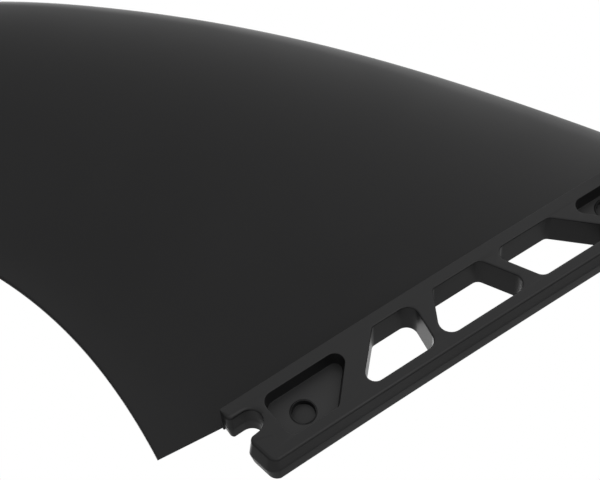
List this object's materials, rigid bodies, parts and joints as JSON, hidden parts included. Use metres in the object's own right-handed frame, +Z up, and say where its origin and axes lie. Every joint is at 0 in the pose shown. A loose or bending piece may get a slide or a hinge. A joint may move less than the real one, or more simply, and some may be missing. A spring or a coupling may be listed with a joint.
{
  "type": "surfboard fin",
  "caption": "Surfboard side fin, flat on its inner side and foiled on the outer, with a long base tab that has windows, pockets and a rear hook.",
  "frame": {"origin": "under the middle of the fin's box, on the surface that it lies on", "axes": "+X to the front of the board along the foot, +Y from the foot to the tip, +Z up out of the foiled side"},
  "size_m": [0.1548, 0.13, 0.0068],
  "materials": {
    "body": "satin black moulded plastic"
  },
  "bodies": {
    "root": {"fin": "body"}
  },
  "joints": []
}
